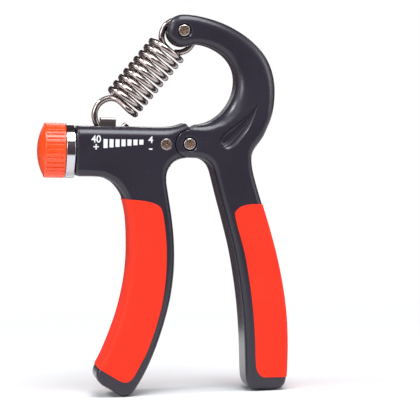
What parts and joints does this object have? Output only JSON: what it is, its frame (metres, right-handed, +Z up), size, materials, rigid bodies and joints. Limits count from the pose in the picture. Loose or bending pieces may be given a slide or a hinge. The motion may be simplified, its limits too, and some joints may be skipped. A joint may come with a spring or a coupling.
{
  "type": "hand grip strengthener",
  "caption": "Adjustable hand grip strengthener: two hinged handles with rubber inlays held apart by an extension spring, and a knob that sets the resistance.",
  "frame": {"origin": "middle of the bounding box at the height of the feet, on the mid-plane of the levers", "axes": "+Z up from the feet of the two handles to the spring's anchor, +X from the adjuster knob towards the fixed arm, Y through the thickness"},
  "size_m": [0.0947, 0.0216, 0.1467],
  "materials": {
    "body": "moulded, satin",
    "grip": "soft matt",
    "knob": "satin",
    "chrome": "polished",
    "spring": "nickel plated",
    "steel": "plated",
    "nylon": "plain"
  },
  "bodies": {
    "left_lever": {"left_frame": "body", "left_grip": "grip", "end_bush": "nylon", "tail_bearing": "nylon", "cross_pin": "steel"},
    "right_lever": {"right_frame": "body", "right_grip": "grip", "pivot_pin": "steel", "pivot_washers": "nylon"},
    "adjuster": {"adjuster_knob": "knob", "knob_insert": "steel", "knob_screw": "steel", "knob_ring": "chrome", "thrust_washer": "nylon", "adjuster_screw": "steel", "screw_clip": "steel"},
    "slider": {"slider_nut": "steel", "hook_saddle": "steel"},
    "anchor": {"anchor_pin": "steel"},
    "spring": {"tension_spring": "spring"}
  },
  "joints": [
    {"name": "squeeze", "type": "hinge", "parent": "left_lever", "child": "right_lever", "pos_m": [0.01095, 0, 0.09665], "axis": [0, 1, 0], "range_deg": [0, 24.7], "stiffness_Nm_per_rad": 10.5, "springref_deg": -15.81},
    {"name": "knob_turn", "type": "hinge", "parent": "left_lever", "child": "adjuster", "pos_m": [-0.01918, 0, 0.0946], "axis": [-0.9988, 0, 0.0482], "range_deg": [0, 4320]},
    {"name": "slider_slide", "type": "slide", "parent": "left_lever", "child": "slider", "axis": [0.9988, 0, -0.0482], "range_m": [0, 0.012]},
    {"name": "anchor_swing", "type": "hinge", "parent": "right_lever", "child": "anchor", "pos_m": [0.01056, 0, 0.14042], "axis": [0, -1, 0], "range_deg": [0, 14.8]},
    {"name": "spring_stretch", "type": "slide", "parent": "anchor", "child": "spring", "axis": [-0.1707, 0, -0.9853], "range_m": [0, 0.0134], "deforming": ["tension_spring"]}
  ],
  "couplings": [
    {"joint": "slider_slide", "follows": "knob_turn", "m_per_rad": 0.00015915},
    {"joint": "anchor_swing", "follows": "knob_turn", "ratio": 0.0034228},
    {"joint": "spring_stretch", "follows": "squeeze", "m_per_rad": 0.031038}
  ]
}
